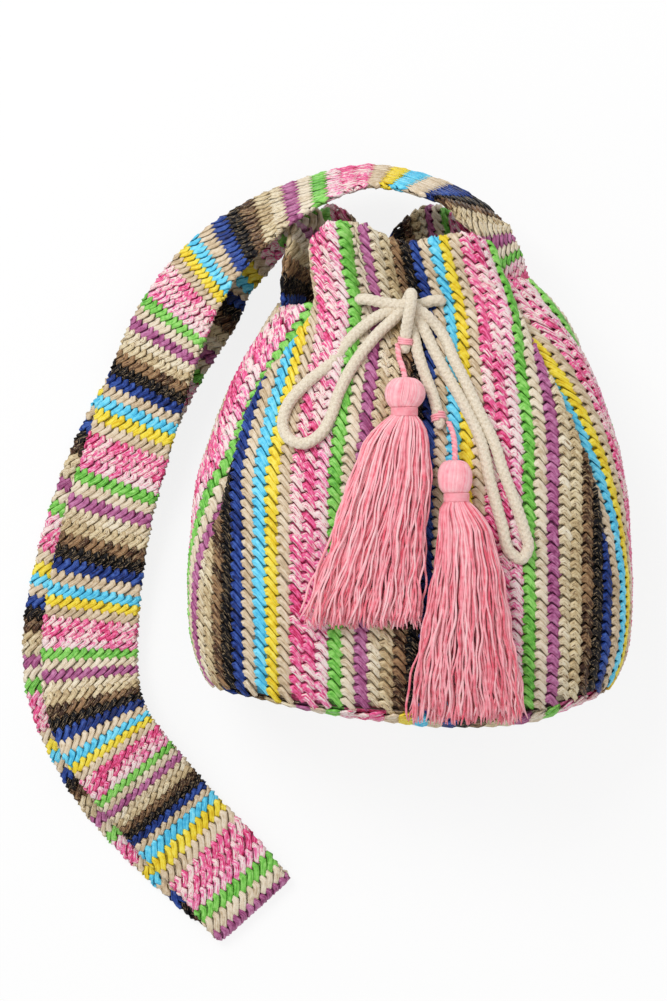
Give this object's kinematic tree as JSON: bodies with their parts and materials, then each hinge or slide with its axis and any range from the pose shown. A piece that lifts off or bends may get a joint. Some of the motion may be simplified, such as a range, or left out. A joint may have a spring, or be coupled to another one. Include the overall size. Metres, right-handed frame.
{
  "type": "wayuu mochila bag",
  "caption": "Striped woven drawstring bucket bag with a long shoulder strap, a tied cord and cotton tassels, lying on its back.",
  "frame": {"origin": "on the flat underside of the bag's back, midway across the woven body", "axes": "+Y from the base towards the mouth, +Z out of the front, +X to the right seen from the front"},
  "size_m": [0.3699, 0.4841, 0.1708],
  "materials": {
    "woven_yarn": "coarse woven paper yarn in stripes, low sheen",
    "cotton_cord": "braided natural cotton, matt",
    "tassel_thread": "pink cotton thread, matt"
  },
  "bodies": {
    "root": {"woven_body": "woven_yarn", "base_panel": "woven_yarn", "shoulder_strap": "woven_yarn", "drawstring": "cotton_cord", "tassel_a_hank": "tassel_thread", "tassel_a_binding": "tassel_thread", "tassel_a_loop": "tassel_thread", "tassel_b_hank": "tassel_thread", "tassel_b_binding": "tassel_thread", "tassel_b_loop": "tassel_thread"}
  },
  "joints": []
}
